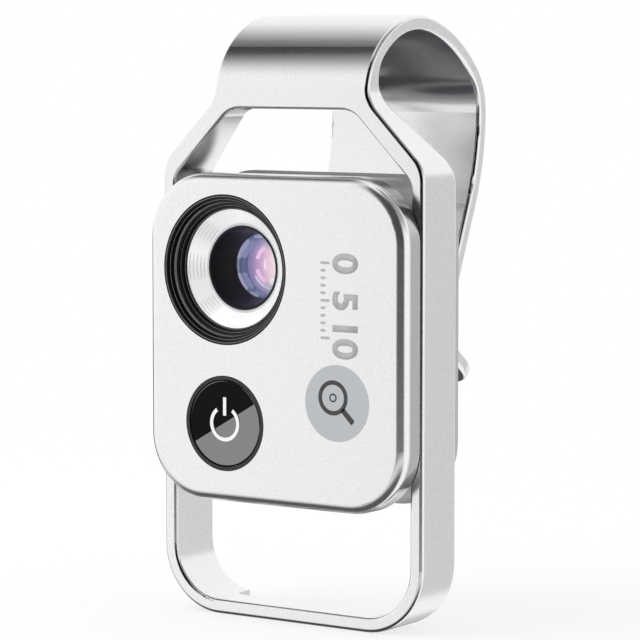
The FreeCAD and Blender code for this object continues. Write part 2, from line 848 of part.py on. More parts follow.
def make_rear_plate():
    """The back cover, with the eyepiece hole and four screw holes."""
    body = slab("rear_plate", plate_front, sizes.plate_thickness, lambda drawing: drawing.box(
        -half_module, half_module, module_bottom, module_top, sizes.module_radius))
    soften(body, "Chamfer", sizes.plate_chamfer, lambda edge: flat_at(edge, plate_back))
    holes = front_sketch(body, plate_front)
    holes.circle(lens_x, lens_z, barrel_radius + sizes.seat_gap)
    for side, height in boss_places:
        holes.circle(side, height, sizes.screw_radius + sizes.seat_gap)
    pocket(body, holes, sizes.plate_thickness)
    seats = front_sketch(body, head_front)
    for side, height in boss_places:
        seats.circle(side, height, sizes.screw_head + sizes.seat_gap)
    pocket(body, seats, sizes.plate_thickness)
    return body


def make_rear_screws():
    """Four screws that hold the back cover to the chassis."""
    body = new_body("rear_screws")
    body.AllowCompound = True
    heads = front_sketch(body, head_front)
    shanks = front_sketch(body, head_front - sizes.rear_screw_length)
    for side, height in boss_places:
        heads.circle(side, height, sizes.screw_head)
        shanks.circle(side, height, sizes.screw_radius)
    pad(body, heads, sizes.head_depth)
    pad(body, shanks, sizes.rear_screw_length)
    return body


def make_board_screws():
    """Four screws that hold the circuit board to the same bosses, from the front."""
    body = new_body("board_screws")
    body.AllowCompound = True
    heads = front_sketch(body, board_front - sizes.board_head_depth)
    shanks = front_sketch(body, board_front)
    for side, height in boss_places:
        heads.circle(side, height, sizes.screw_head)
        shanks.circle(side, height, sizes.screw_radius)
    pad(body, heads, sizes.board_head_depth)
    pad(body, shanks, sizes.board_screw_length)
    return body


def make_lens_bezel():
    """A ring with stepped grooves inside and a flange behind the cover's face."""
    steps = sizes.bezel_steps
    step = (bezel_drop - sizes.bezel_lip) / steps
    inset = (sizes.bezel_radius - sizes.bezel_rim - sizes.bezel_inner) / steps
    radius, depth = sizes.bezel_radius - sizes.bezel_rim, shell_front
    profile = [(sizes.bezel_radius, depth)]
    for _ in range(int(SIZES["bezel_steps"])):
        profile.append((radius, depth))
        depth = depth + step
        profile.append((radius, depth))
        radius = radius - inset
    return turned("lens_bezel", profile + [
        (sizes.bezel_inner, depth),
        (sizes.bezel_inner, bezel_back),
        (bezel_flange, bezel_back),
        (bezel_flange, face_back),
        (sizes.bezel_radius, face_back),
    ], lens_x, lens_z)


def make_reflector():
    """The polished cone between the bezel and the barrel."""
    return turned("reflector_cone", [
        (sizes.bezel_inner, bezel_back),
        (cone_inner, cone_back),
        (cone_inner, guide_front),
        (reflector_radius, guide_front),
        (reflector_radius, bezel_back),
    ], lens_x, lens_z)


def make_light_guide():
    """A clear ring over the lamps, with a thin lip that shows round the barrel."""
    inner = nose_radius + sizes.glass_gap
    return turned("light_guide", [
        (inner, cone_back + sizes.guide_sink),
        (cone_inner - sizes.glass_gap, cone_back + sizes.guide_sink),
        (cone_inner - sizes.glass_gap, guide_front),
        (guide_radius, guide_front),
        (guide_radius, guide_back),
        (inner, guide_back),
    ], lens_x, lens_z)


def make_barrel():
    """The black tube that holds the glass, hung by its flange behind the board."""
    return turned("lens_barrel", [
        (nose_radius, cone_back),
        (nose_radius, board_back),
        (barrel_radius + sizes.flange_lap, board_back),
        (barrel_radius + sizes.flange_lap, board_back + sizes.flange_thickness),
        (barrel_radius, board_back + sizes.flange_thickness),
        (barrel_radius, plate_back),
        (bore, plate_back),
        (bore, seat),
        (stop_radius, seat),
        (stop_radius, glass_front),
        (nose_radius - sizes.nose_wall, cone_back),
    ], lens_x, lens_z)


def make_lens(label, front, thickness, bulge):
    """A glass with a flat rim and a dome on both sides."""
    body = new_body(label, lens_x, lens_z)
    drawing = Drawing(body, "XY_Plane")
    dome, rim = stop_radius - sizes.dome_inset, sizes.glass_radius
    back = front + thickness
    ball = (dome * dome + bulge * bulge) / (bulge * 2)
    to_centre = Vector(0, ball.value, 0)
    corners = [(dome, front), (rim, front), (rim, back), (dome, back)]
    points = [Vector(across.value, up.value, 0) for across, up in corners]
    front_tip = Vector(0, front.value - bulge.value, 0)
    back_tip = Vector(0, back.value + bulge.value, 0)
    front_dome = drawing.arc(front_tip + to_centre, ball.value, front_tip, points[0])
    edges = [drawing.line(points[i], points[i + 1]) for i in range(3)]
    back_dome = drawing.arc(back_tip - to_centre, ball.value, points[3], back_tip)
    axis = drawing.line(back_tip, front_tip)
    drawing.rule("Coincident", front_dome, 2, edges[0], 1)
    drawing.rule("Coincident", edges[0], 2, edges[1], 1)
    drawing.rule("Coincident", edges[1], 2, edges[2], 1)
    drawing.rule("Coincident", edges[2], 2, back_dome, 1)
    drawing.rule("Coincident", back_dome, 2, axis, 1)
    drawing.rule("Coincident", axis, 2, front_dome, 1)
    for edge, corner in zip(edges, corners):
        drawing.pin(edge, 1, *corner)
    drawing.pin(edges[2], 2, *corners[3])
    drawing.pin(axis, 1, as_size(0), back + bulge)
    drawing.pin(axis, 2, as_size(0), front - bulge)
    drawing.rule("PointOnObject", front_dome, 3, -2)
    drawing.rule("PointOnObject", back_dome, 3, -2)
    turn(body, drawing)
    return body


def make_ring(label, front, length):
    """A plain ring inside the barrel's bore, as wide inside as the stop."""
    return turned(label, [
        (stop_radius, front),
        (sizes.glass_radius, front),
        (sizes.glass_radius, front + length),
        (stop_radius, front + length),
    ], lens_x, lens_z)


def make_gasket():
    """The soft ring round the eyepiece, which rests on the phone."""
    back = plate_back + sizes.gasket_thickness
    return turned("eyepiece_gasket", [
        (gasket_inner, plate_back),
        (gasket_outer, plate_back),
        (gasket_outer, back, sizes.gasket_round),
        (gasket_inner, back, sizes.gasket_round),
    ], lens_x, lens_z)


def make_button_ring():
    """The thin rim round the button, with a flange behind the cover's face."""
    return turned("button_ring", [
        (button_bore, shell_front),
        (sizes.button_ring, shell_front),
        (sizes.button_ring, face_back),
        (sizes.button_ring + sizes.ring_lap, face_back),
        (sizes.button_ring + sizes.ring_lap, ring_flange_back),
        (button_bore, ring_flange_back),
    ], lens_x, button_z)


def make_button_cap():
    """A hollow cap, kept in by its lip, with a stem down to the switch."""
    lip_front = ring_flange_back + sizes.glass_gap
    lip_back = lip_front + sizes.button_lip
    skin = button_front + sizes.button_skin
    return turned("button_cap", [
        (0, button_front),
        (button_radius, button_front, sizes.button_round),
        (button_radius, lip_front),
        (button_radius + sizes.button_lap, lip_front),
        (button_radius + sizes.button_lap, lip_back),
        (button_radius - sizes.button_wall, lip_back),
        (button_radius - sizes.button_wall, skin),
        (sizes.stem_radius, skin),
        (sizes.stem_radius, plunger_front),
        (0, plunger_front),
    ], lens_x, button_z)


def make_symbol():
    """The raised on-off mark: a broken circle and a short bar."""
    body = new_body("power_symbol", lens_x, button_z)
    body.AllowCompound = True
    drawing = front_sketch(body, button_front - sizes.symbol_height)
    half_line = sizes.symbol_line / 2
    start = as_size(90) + sizes.symbol_gap / 2
    sweep = as_size(360) - sizes.symbol_gap
    drawing.band(as_size(0), as_size(0), sizes.symbol_radius - half_line, sizes.symbol_line,
                 start, sweep)
    drawing.box(-half_line, half_line, sizes.bar_rise, sizes.bar_rise + sizes.bar_length)
    pad(body, drawing, sizes.symbol_height)
    return body


def make_board():
    """The circuit board, cut for the barrel and screwed to the bosses."""
    gap = sizes.board_gap
    corner = chassis_radius - sizes.chassis_wall - gap
    body = slab("main_board", board_front, sizes.board_thickness, lambda drawing: drawing.box(
        -inside_half + gap, inside_half - gap, inside_bottom + gap, inside_top - gap, corner))
    holes = front_sketch(body, board_front)
    holes.circle(lens_x, lens_z, nose_radius + sizes.seat_gap * 2)
    for side, height in boss_places:
        holes.circle(side, height, sizes.screw_radius + sizes.seat_gap)
    pocket(body, holes, sizes.board_thickness)
    return body


def make_leds():
    """Lamps in a circle round the barrel, on the board's front."""
    body = new_body("ring_leds", lens_x, lens_z)
    body.AllowCompound = True
    drawing = front_sketch(body, led_front)
    half_width, half_length = sizes.led_width / 2, sizes.led_length / 2
    drawing.box(-half_width, half_width, led_circle - half_length,
                led_circle + half_length)
    first = pad(body, drawing, sizes.led_height)
    around = body.newObject("PartDesign::PolarPattern", "ring_leds_pattern")
    around.Originals = [first]
    axes = [axis for axis in body.Origin.OriginFeatures if axis.Role == "Y_Axis"]
    around.Axis = (axes[0], [""])
    around.Angle = 360
    around.setExpression("Occurrences", sizes.led_count.text)
    body.Tip = around
    doc.recompute()
    return body


def make_switch():
    """The small push switch on the board, with a well for its plunger."""
    body = new_body("tact_switch", lens_x, button_z)
    half = sizes.switch_size / 2
    drawing = front_sketch(body, switch_front)
    drawing.box(-half, half, -half, half)
    pad(body, drawing, sizes.switch_height)
    well = front_sketch(body, switch_front)
    well.circle(0, 0, sizes.plunger_radius + sizes.plunger_slide)
    pocket(body, well, sizes.plunger_well)
    return body


def make_plunger():
    """The switch's plunger, which the button's stem pushes in."""
    return turned("switch_plunger", [
        (0, plunger_front),
        (sizes.plunger_radius, plunger_front),
        (sizes.plunger_radius, switch_front + sizes.plunger_tail),
        (0, switch_front + sizes.plunger_tail),
    ], lens_x, button_z)


def make_chip(label, across, side):
    """A square chip on the board's back."""
    up = button_z + sizes.chip_rise
    half = side / 2
    slab(label, board_back, sizes.chip_height, lambda drawing: drawing.box(
        across - half, across + half, up - half, up + half))


def make_passives():
    """A row of small parts under the chips."""
    body = new_body("board_passives")
    body.AllowCompound = True
    drawing = front_sketch(body, board_back)
    half_width, half_length = sizes.passive_width / 2, sizes.passive_length / 2
    row = button_z + sizes.passive_rise
    for number in range(int(SIZES["passive_count"])):
        middle = (sizes.passive_count - 1) / 2
        across = lens_x + (as_size(number) - middle) * sizes.passive_pitch
        drawing.box(across - half_width, across + half_width,
                    row - half_length, row + half_length)
    pad(body, drawing, sizes.passive_height)
    return body


def make_battery():
    """The flat cell beside the lens and the tape that holds it to the board."""
    half_height = sizes.battery_height / 2
    middle = (module_bottom + module_top) / 2
    left = lens_x + reflector_radius + sizes.battery_gap
    right = inside_half - sizes.battery_side
    gap = sizes.board_gap
    slab("battery_tape", battery_back, sizes.tape_thickness, lambda drawing: drawing.box(
        left + gap, right - gap, middle - half_height + gap, middle + half_height - gap))
    body = slab("battery", battery_front, battery_back - battery_front,
                lambda drawing: drawing.box(left, right, middle - half_height,
                                            middle + half_height, sizes.battery_round))
    soften(body, "Fillet", sizes.battery_round, lambda edge: flat_at(edge, battery_front))


def make_socket():
    """The charging socket, open downwards, and the tongue inside it."""
    half_width = sizes.socket_width / 2
    socket_back = board_back + sizes.socket_depth
    body = new_body("charging_socket")
    outside = Drawing(body, "XY_Plane", chassis_bottom)
    outside.box(socket_x - half_width, socket_x + half_width, board_back,
                socket_back, sizes.socket_round)
    pad(body, outside, sizes.socket_length, forwards=True)
    wall = sizes.socket_wall
    inside = Drawing(body, "XY_Plane", chassis_bottom)
    inside.box(socket_x - half_width + wall, socket_x + half_width - wall,
               board_back + wall, socket_back - wall, sizes.socket_round - wall)
    pocket(body, inside, sizes.socket_length - wall, forwards=True)

    tongue = new_body("socket_tongue")
    half_tongue = sizes.tongue_width / 2
    middle = board_back + sizes.socket_depth / 2
    roof = chassis_bottom + sizes.socket_length - wall
    shape = Drawing(tongue, "XY_Plane", roof - sizes.tongue_length)
    shape.box(socket_x - half_tongue, socket_x + half_tongue,
              middle - sizes.tongue_thickness / 2, middle + sizes.tongue_thickness / 2)
    pad(tongue, shape, sizes.tongue_length, forwards=True)


def write_steps():
    """Check every object and shape, then write one file for each piece."""
    doc.recompute()
    for thing in doc.Objects:
        if "Invalid" in thing.State or "Error" in thing.State:
            raise RuntimeError(f"{thing.Name} failed: {thing.State}")
    os.makedirs("parts", exist_ok=True)
    for piece in parts:
        shape = piece.Shape
        if shape.isNull() or not shape.isValid():
            raise RuntimeError(f"{piece.Label} has no valid shape")
        shape.exportStep(os.path.join("parts", f"{piece.Label}.step"))
        print(f"{piece.Label}: {len(shape.Solids)} solid, {shape.Volume:.2f} mm3")


clip_frame, (heel_across, heel_up) = make_clip_frame()
round_clip_edges(clip_frame)
cut_notch(clip_frame)
make_clip_pad()
make_shell()
make_chassis()
make_rear_plate()
make_rear_screws()
make_board_screws()
make_lens_bezel()
make_reflector()
make_light_guide()
make_barrel()
make_lens("front_lens", seat, sizes.front_glass, sizes.front_bulge)
make_ring("lens_spacer", spacer_front, sizes.spacer_length)
make_lens("rear_lens", rear_lens_front, sizes.rear_glass, sizes.rear_bulge)
make_ring("retaining_ring", ring_front, sizes.ring_length)
make_gasket()
make_button_ring()
make_button_cap()
make_symbol()
make_board()
make_leds()
make_switch()
make_plunger()
make_chip("charger_chip", lens_x - sizes.chip_spread, sizes.charger_chip)
make_chip("driver_chip", lens_x + sizes.chip_spread, sizes.driver_chip)
make_passives()
make_battery()
make_socket()
write_steps()
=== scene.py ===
import math
import bpy
from mathutils import Matrix, Vector


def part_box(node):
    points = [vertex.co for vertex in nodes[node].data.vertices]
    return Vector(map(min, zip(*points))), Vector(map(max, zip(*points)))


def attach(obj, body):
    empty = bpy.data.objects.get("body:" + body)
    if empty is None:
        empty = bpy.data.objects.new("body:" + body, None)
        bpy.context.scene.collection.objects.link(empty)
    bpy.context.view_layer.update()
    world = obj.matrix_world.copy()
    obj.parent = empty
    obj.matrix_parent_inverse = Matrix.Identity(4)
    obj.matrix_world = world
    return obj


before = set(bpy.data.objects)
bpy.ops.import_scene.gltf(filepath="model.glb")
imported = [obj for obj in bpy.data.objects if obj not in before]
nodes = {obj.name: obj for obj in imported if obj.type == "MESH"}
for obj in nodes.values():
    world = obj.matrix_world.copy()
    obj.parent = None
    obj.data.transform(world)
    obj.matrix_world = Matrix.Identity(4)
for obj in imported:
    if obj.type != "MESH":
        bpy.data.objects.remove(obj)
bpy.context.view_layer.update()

bpy.ops.object.select_all(action="DESELECT")
scene = bpy.context.scene
MM = 0.001

# Places read from the CAD nodes, in metres
shell_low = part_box("front_shell")[0]
bezel_low, bezel_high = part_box("lens_bezel")
glass_low, glass_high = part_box("front_lens")
rear_low, rear_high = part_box("rear_lens")
cap_low, cap_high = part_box("button_cap")
lens_axis = Vector(((bezel_low.x + bezel_high.x) / 2, 0, (bezel_low.z + bezel_high.z) / 2))
button_axis = Vector(((cap_low.x + cap_high.x) / 2, 0, (cap_low.z + cap_high.z) / 2))
module_face = shell_low.y
glass_radius = (glass_high.x - glass_low.x) / 2

# Camera: angles in degrees, lens and sensor in millimetres, place in metres
CAMERA_TURN = 34.71
CAMERA_TILT = 5.13
CAMERA_LENS = 171.3
CAMERA_SENSOR = 36
CAMERA_PLACE = (0.16602, -0.23757, 0.05487)

# The cover: its side wall is painted a darker grey as shade, starting between these depths behind its front,
# in millimetres
WALL_SHADE_FROM, WALL_SHADE_TO = 1.0, 1.08

# The button's facet: where it starts from the middle in millimetres, its direction and its slope
FACET_OFFSET, FACET_TOWARD, FACET_SLOPE = (0.4, 0.3), (0.5, 0.87), 0.42

# The depth of a metal's or a plastic's grain, in metres
GRAIN_DEPTH = 0.00002

# The numbered scale and the badge on the cover, in millimetres
SCALE_MIDDLE, SCALE_TOP, SCALE_BOTTOM = 8.05, 34.9, 27.9
SCALE_TICKS_FROM = 5.45
FIGURE_HEIGHT = 2.6
LONG_TICK, SHORT_TICK, TICK_WIDTH = 1.0, 0.55, 0.26
BADGE_PLACE, BADGE_RADIUS = (7.3, 21.85), 3.6
LOUPE_OFFSET, LOUPE_RADIUS, LOUPE_WIDTH = (-0.45, 0.5), 1.65, 0.42
GLINT_RADIUS, GLINT_WIDTH = 0.42, 0.16
HANDLE_REACH, HANDLE_WIDTH, HANDLE_LENGTH = 2.35, 0.55, 1.7
SCALE_INK, BADGE_INK, LOUPE_INK = 0.006, 0.004, 0.008

# Shares: a figure's height of its font's size, its added weight, and a bar's rounding of its width
FIGURE_SHARE, FIGURE_WEIGHT, BAR_ROUNDING = 0.69, 0.05, 0.22

# Studio: lamps and sizes in metres, watts and shares of white
MIDDLE_HEIGHT = 0.03
WORLD_LEVEL = 0.75
FLOOR_SIZE = 6
FLOOR_DROP = 0.00002
SHADOW_SHARE, SHADOW_FROM, SHADOW_TO = 0.72, 0.03, 0.14
TENT_RADIUS = 0.9

# Each lamp's name, place as azimuth, elevation and distance, size, and power
LAMPS = (
    ("key_lamp", (-140, 50, 0.6), 0.5, 1.6),
    ("fill_lamp", (20, 35, 0.7), 0.6, 0.8),
)

# The tent's dark gaps: middle, reach and softness round the object, low, high and fade upwards,
# all in degrees, and the gap's level
TENT_GAPS = (
    (-69, 45, 6, -11, 60, 3, 0.0),
    (-8, 56, 8, 26, 95, 10, 0.3),
    (-170, 34, 26, 40, 70, 8, 0.02),
    (140, 36, 4, -20, 0, 3, 0.0),
    (61, 14, 4, -34, 12, 4, 0.66),
    (-100, 86, 10, -95, -24, 11, 0.04),
    (142, 36, 8, -80, -26, 10, 0.08),
)


# Camera at the photograph's viewing angle

def place_camera():
    turn, tilt = math.radians(CAMERA_TURN), math.radians(CAMERA_TILT)
    ahead = Vector((-math.sin(turn) * math.cos(tilt), math.cos(turn) * math.cos(tilt), -math.sin(tilt)))
    right = Vector((math.cos(turn), math.sin(turn), 0))
    above = right.cross(ahead)
    data = bpy.data.cameras.new("camera")
    data.lens = CAMERA_LENS
    data.sensor_width = CAMERA_SENSOR
    data.clip_start = 0.01
    camera = bpy.data.objects.new("camera", data)
    camera.matrix_world = Matrix((
        (right.x, above.x, -ahead.x, CAMERA_PLACE[0]),
        (right.y, above.y, -ahead.y, CAMERA_PLACE[1]),
        (right.z, above.z, -ahead.z, CAMERA_PLACE[2]),
        (0, 0, 0, 1),
    ))
    scene.collection.objects.link(camera)
    scene.camera = camera


# Materials

class Finish:
    """A material with a few short words for the nodes that a finish needs."""

    def __init__(self, name, colour, roughness, metallic=0.0, **sockets):
        self.material = bpy.data.materials.new(name)
        self.material.use_nodes = True
        self.tree = self.material.node_tree
        self.shader = self.tree.nodes["Principled BSDF"]
        self.coordinates = self.tree.nodes.new("ShaderNodeTexCoord").outputs["Object"]
        self.set("Base Color", (*colour, 1))
        self.set("Roughness", roughness)
        self.set("Metallic", metallic)
        for socket, value in sockets.items():
            self.set(socket.replace("_", " "), value)

    def set(self, socket, value):
        self.shader.inputs[socket].default_value = value

    def node(self, kind, **inputs):
        made = self.tree.nodes.new("ShaderNode" + kind)
        for name, value in inputs.items():
            self.feed(made.inputs[name.replace("_", " ")], value)
        return made

    def feed(self, socket, value):
        if isinstance(value, bpy.types.NodeSocket):
            self.tree.links.new(value, socket)
        else:
            socket.default_value = value

    def link(self, output, socket):
        self.tree.links.new(output, self.shader.inputs[socket])

    def math(self, operation, first, second=0.0, third=0.0, clamp=False):
        made = self.tree.nodes.new("ShaderNodeMath")
        made.operation = operation
        made.use_clamp = clamp
        for socket, value in zip(made.inputs, (first, second, third)):
            self.feed(socket, value)
        return made.outputs[0]

    def largest(self, values):
        """The largest of several masks."""
        top = values[0]
        for value in values[1:]:
            top = self.math("MAXIMUM", top, value)
        return top

    def waves(self, value, length):
        """Waves from -1 to 1, a length apart."""
        return self.math("SINE", self.math("MULTIPLY", value, 2 * math.pi / length))

    def noise(self, size, detail=2.0):
        """A noise whose features are about this many metres across."""
        made = self.node("TexNoise", Scale=1 / size, Detail=detail)
        self.tree.links.new(self.coordinates, made.inputs["Vector"])
        return made.outputs["Fac"]

    def ramp(self, factor, stops):
        """A run of colours, each at its share."""
        made = self.tree.nodes.new("ShaderNodeValToRGB")
        elements = made.color_ramp.elements
        elements[0].position, elements[0].color = stops[0][0], (*stops[0][1], 1)
        elements[1].position, elements[1].color = stops[-1][0], (*stops[-1][1], 1)
        for place, colour in stops[1:-1]:
            elements.new(place).color = (*colour, 1)
        self.feed(made.inputs[0], factor)
        return made.outputs[0]

    def span(self, value, low, high, to_low, to_high):
        """Carry a value from one range to another, and hold it at the ends."""
        made = self.tree.nodes.new("ShaderNodeMapRange")
        for name, number in (("From Min", low), ("From Max", high), ("To Min", to_low), ("To Max", to_high)):
            made.inputs[name].default_value = number
        self.feed(made.inputs["Value"], value)
        return made.outputs[0]

    def mix(self, factor, first, second):
        made = self.tree.nodes.new("ShaderNodeMix")
        made.data_type = "RGBA"
        self.feed(made.inputs[0], factor)
        for socket, value in ((made.inputs[6], first), (made.inputs[7], second)):
            self.feed(socket, (*value, 1) if isinstance(value, tuple) and len(value) == 3 else value)
        return made.outputs[2]

    def bump(self, height, strength, distance):
        made = self.node("Bump", Strength=strength, Distance=distance, Height=height)
        self.link(made.outputs[0], "Normal")

    def split(self, place=None):
        """The X, Y and Z of a place, or of the surface's own place."""
        made = self.tree.nodes.new("ShaderNodeSeparateXYZ")
        self.tree.links.new(place or self.coordinates, made.inputs[0])
        return made.outputs["X"], made.outputs["Y"], made.outputs["Z"]

    def show(self, output):
        """Show another shader in place of the material's own."""
        self.tree.links.new(output, self.tree.nodes["Material Output"].inputs["Surface"])

    def from_axis(self, axis):
        """Distance from a line along Y, and the angle about it, seen from the front."""
        moved = self.tree.nodes.new("ShaderNodeMapping")
        moved.inputs["Location"].default_value = (-axis.x, 0, -axis.z)
        self.tree.links.new(self.coordinates, moved.inputs["Vector"])
        across, depth, up = self.split(moved.outputs[0])
        square = self.math("ADD", self.math("MULTIPLY", across, across), self.math("MULTIPLY", up, up))
        return self.math("SQRT", square), self.math("ARCTAN2", up, across), depth

    def facing(self, around, degrees):
        """The cosine of the angle between a point and a direction about the axis."""
        return self.math("COSINE", self.math("SUBTRACT", around, math.radians(degrees)))


def darker(colour, share):
    return tuple(part * share for part in colour)


def dress(finish, *names):
    """Put a finish in every material slot of these CAD nodes."""
    for name in names:
        for slot in nodes[name].material_slots:
            slot.material = finish.material


def satin_metal(name, colour, roughness, grain, depth, metallic=1.0):
    """Blasted and anodised aluminium with an even fine grain."""
    finish = Finish(name, colour, roughness, metallic)
    fine = finish.noise(grain * MM, 3.0)
    finish.bump(fine, depth, GRAIN_DEPTH)
    grains = finish.span(fine, 0.32, 0.62, 0, 1)
    finish.link(finish.mix(grains, darker(colour, 0.9), colour), "Base Color")
    finish.link(finish.span(fine, 0.3, 0.7, roughness * 0.9, roughness * 1.12), "Roughness")
    return finish


def moulded_plastic(name, colour, roughness, texture=0.05, depth=0.12, **sockets):
    """Moulded plastic: a fine spark-eroded texture, slightly uneven in gloss."""
    finish = Finish(name, colour, roughness, **sockets)
    fine = finish.noise(texture * MM, 3.0)
    finish.bump(fine, depth, GRAIN_DEPTH)
    patches = finish.noise(3 * MM)
    finish.link(finish.span(patches, 0.3, 0.7, roughness * 0.94, roughness * 1.06), "Roughness")
    grains = finish.span(fine, 0.3, 0.7, 0, 1)
    finish.link(finish.mix(grains, darker(colour, 0.88), colour), "Base Color")
    return finish


def dress_clip():
    dress(satin_metal("clip_satin_metal", (0.92, 0.92, 0.925), 0.19, 0.13, 0.1), "clip_frame")
    rubber = moulded_plastic("soft_rubber", (0.035, 0.035, 0.037), 0.8, 0.08, 0.3)
    dress(rubber, "clip_pad", "eyepiece_gasket", "battery_tape")


def dress_shells():
    shell = satin_metal("shell_satin_metal", (0.93, 0.93, 0.935), 0.2, 0.13, 0.12, 0.93)
    depth = shell.split()[1]
    # Painted shade: the side wall behind the front face gets a darker grey than the face
    painted_wall_shade = shell.span(depth, module_face + WALL_SHADE_FROM * MM, module_face + WALL_SHADE_TO * MM, 0, 1)
    face_colour = shell.shader.inputs["Base Color"].links[0].from_socket
    shell.link(shell.mix(painted_wall_shade, face_colour, (0.6, 0.6, 0.605)), "Base Color")
    dress(shell, "front_shell")
    grey = moulded_plastic("silver_plastic", (0.52, 0.52, 0.53), 0.4, 0.06, 0.1, metallic=0.4)
    dress(grey, "chassis", "rear_plate")
    dress(moulded_plastic("white_plunger", (0.8, 0.8, 0.8), 0.45), "switch_plunger")


def dress_bezel():
    """Gloss black with fine turned grooves, and grey rings painted on as highlight lines."""
    step = Finish("stepped_black", (0.008, 0.008, 0.009), 0.22, IOR=1.35)
    radius = step.from_axis(lens_axis)[0]
    step.bump(step.waves(radius, 0.045 * MM), 0.12, 0.000004)
    # Painted highlight: grey rings every 0.3 mm stand in for the bright lines on the turned steps
    painted_rings = step.span(step.waves(radius, 0.3 * MM), 0.8, 1.0, 0, 1)
    step.link(step.mix(painted_rings, (0.006, 0.006, 0.007), (0.24, 0.24, 0.245)), "Base Color")
    step.link(step.span(step.noise(0.8 * MM), 0.3, 0.7, 0.18, 0.28), "Roughness")
    dress(step, "lens_bezel")


def dress_cone():
    """Bright turned metal with grey arcs of painted reflection, each given by its angle and reach in degrees,
    and a faint painted glow.
    """
    bright = (0.97, 0.97, 0.975)
    cone = Finish("polished_cone", bright, 0.3, metallic=0.3)
    radius, around, _ = cone.from_axis(lens_axis)
    painted_rings = cone.span(cone.waves(radius, 0.26 * MM), 0.1, 0.95, 0, 1)
    reflection_masks = []
    # Painted reflection: grey ringed arcs at three angles stand in for the studio mirrored in the cone
    for angle, reach in ((180, 17), (137, 13), (228, 12)):
        edge = math.cos(math.radians(reach))
        reflection_masks.append(cone.span(cone.facing(around, angle), edge, 1 - (1 - edge) * 0.35, 0, 1))
    painted_reflection_arcs = cone.math("MULTIPLY", painted_rings, cone.largest(reflection_masks), clamp=True)
    cone.link(cone.mix(painted_reflection_arcs, bright, (0.42, 0.42, 0.43)), "Base Color")
    cone.bump(cone.waves(radius, 0.05 * MM), 0.1, 0.000003)
    # Painted glow: the cone gives off a faint white light of its own, though it is no lamp
    cone.set("Emission Color", (1, 1, 1, 1))
    cone.set("Emission Strength", 0.3)
    dress(cone, "reflector_cone")


def dress_barrel():
    guide = Finish("frosted_guide", (0.9, 0.92, 0.93), 0.45, IOR=1.49)
    guide.bump(guide.noise(0.06 * MM), 0.15, 0.00001)
    guide.link(guide.mix(guide.noise(1.5 * MM), (0.86, 0.88, 0.9), (0.93, 0.94, 0.95)), "Base Color")
    guide.set("Transmission Weight", 0.25)
    dress(guide, "light_guide")
    barrel = moulded_plastic("barrel_black", (0.006, 0.006, 0.006), 0.34, 0.05, 0.05, IOR=1.4)
    dress(barrel, "lens_barrel")
    baffle = moulded_plastic("baffle_slate", (0.06, 0.07, 0.12), 0.5, 0.05, 0.1)
    dress(baffle, "retaining_ring", "lens_spacer")


def dress_front_glass():
    """Glass whose colours are painted reflection: slate blue with paler facet reflections, a painted
    highlight along the lower rim and a painted glow; angle and reach in degrees, chord and rim in mm.
    """
    glass = Finish("front_glass_painted_reflections", (0.2, 0.24, 0.42), 0.02, IOR=1.7)
    radius, around, _ = glass.from_axis(lens_axis)
    # Painted reflection: the coating's slate blue, paler towards the middle and darker at the rim
    shade = glass.ramp(glass.span(radius, 0, glass_radius, 0, 1), [
        (0.0, (0.35, 0.33, 0.5)), (0.6, (0.25, 0.32, 0.55)), (1.0, (0.15, 0.19, 0.34))])
    # Painted reflection: paler lavender facets at four angles
    painted_facet_reflections = []
    for angle, reach, chord, rim in (
            (146, 22, 2.5, 3.5), (214, 18, 2.6, 3.6), (96, 14, 2.7, 3.4), (250, 10, 2.8, 3.5)):
        toward = glass.facing(around, angle)
        sector = glass.math("GREATER_THAN", toward, math.cos(math.radians(reach)))
        within = glass.math("LESS_THAN", radius, rim * MM)
        flat = glass.math("GREATER_THAN", glass.math("MULTIPLY", radius, toward), chord * MM)
        painted_facet_reflections.append(glass.math("MULTIPLY", sector, glass.math("MULTIPLY", within, flat)))
    # Painted highlight: a pale crescent along the lower rim
    painted_rim_highlight = glass.math(
        "MULTIPLY", glass.math("LESS_THAN", glass.math("COSINE", around), -0.45),
        glass.math("GREATER_THAN", radius, glass_radius * 0.955))
    shade = glass.mix(glass.largest(painted_facet_reflections), shade, (0.6, 0.6, 0.92))
    shade = glass.mix(painted_rim_highlight, shade, (0.8, 0.85, 0.95))
    glass.link(shade, "Base Color")
    # Painted glow: the glass gives off light in its own colours, though it is no lamp
    glass.link(shade, "Emission Color")
    glass.set("Emission Strength", 0.34)
    glass.link(glass.span(radius, 1.6 * MM, 3.4 * MM, 0.12, 0.8), "Alpha")
    dress(glass, "front_lens")


